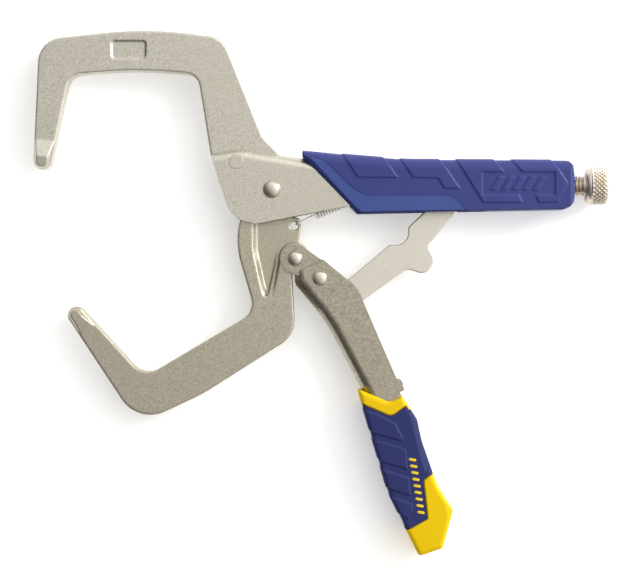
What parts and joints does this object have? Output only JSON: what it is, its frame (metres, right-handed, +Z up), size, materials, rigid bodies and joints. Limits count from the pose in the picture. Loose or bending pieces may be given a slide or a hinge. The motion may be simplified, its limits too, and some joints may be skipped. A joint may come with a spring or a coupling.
{
  "type": "locking c clamp",
  "caption": "Locking pliers-type C clamp with two forged jaws, a folded-steel toggle handle, an adjusting screw with a knurled knob and moulded two-colour grips.",
  "frame": {"origin": "centre of the tool's outline on the plane it rests on, lying on its side", "axes": "+X from the jaws to the screw knob, +Y from the lever to the fixed jaw, +Z up, square to the flat of the tool"},
  "size_m": [0.2744, 0.2498, 0.021],
  "materials": {
    "frame_steel": "satin",
    "jaw_steel": "satin",
    "lever_steel": "satin",
    "link_steel": "satin",
    "rivet_steel": "satin",
    "screw_steel": "satin",
    "knob_steel": "satin",
    "spring_steel": "satin",
    "grip_blue": "matte",
    "grip_yellow": "matte"
  },
  "bodies": {
    "handle": {"upper_handle": "frame_steel", "fixed_jaw": "frame_steel", "fixed_jaw_rivet": "frame_steel", "jaw_pivot_rivet": "rivet_steel", "upper_grip": "grip_blue", "return_spring": "spring_steel"},
    "moving_jaw": {"moving_jaw": "jaw_steel"},
    "lever": {"lever": "lever_steel", "lever_pivot_rivet": "rivet_steel", "link_pivot_rivet": "rivet_steel", "lower_grip_core": "grip_yellow", "lower_grip_sleeve": "grip_blue"},
    "toggle_link": {"toggle_link": "link_steel"},
    "screw": {"adjusting_screw": "screw_steel"},
    "knob": {"screw_knob": "knob_steel"}
  },
  "joints": [
    {"name": "jaw_swing", "type": "hinge", "parent": "handle", "child": "moving_jaw", "pos_m": [-0.0233, 0.04909, 0.0105], "axis": [0, 0, 1], "range_deg": [-15, 0], "deforming": ["return_spring"]},
    {"name": "lever_swing", "type": "hinge", "parent": "moving_jaw", "child": "lever", "pos_m": [-0.0123, 0.01619, 0.0105], "axis": [0, 0, 1], "range_deg": [0, 73]},
    {"name": "link_swing", "type": "hinge", "parent": "lever", "child": "toggle_link", "pos_m": [-0.0005, 0.00669, 0.0105], "axis": [0, 0, 1], "range_deg": [-69, 0]},
    {"name": "screw_advance", "type": "slide", "parent": "handle", "child": "screw", "axis": [1, 0, 0], "range_m": [-0.0048, 0.01]},
    {"name": "screw_turn", "type": "hinge", "parent": "screw", "child": "knob", "pos_m": [0.1317, 0.05099, 0.0105], "axis": [1, 0, 0], "range_deg": [-1089, 2268]}
  ],
  "couplings": [
    {"joint": "jaw_swing", "follows": "lever_swing", "ratio": -0.20548},
    {"joint": "link_swing", "follows": "lever_swing", "ratio": -0.9452},
    {"joint": "screw_turn", "follows": "screw_advance", "rad_per_m": 3957.8}
  ]
}
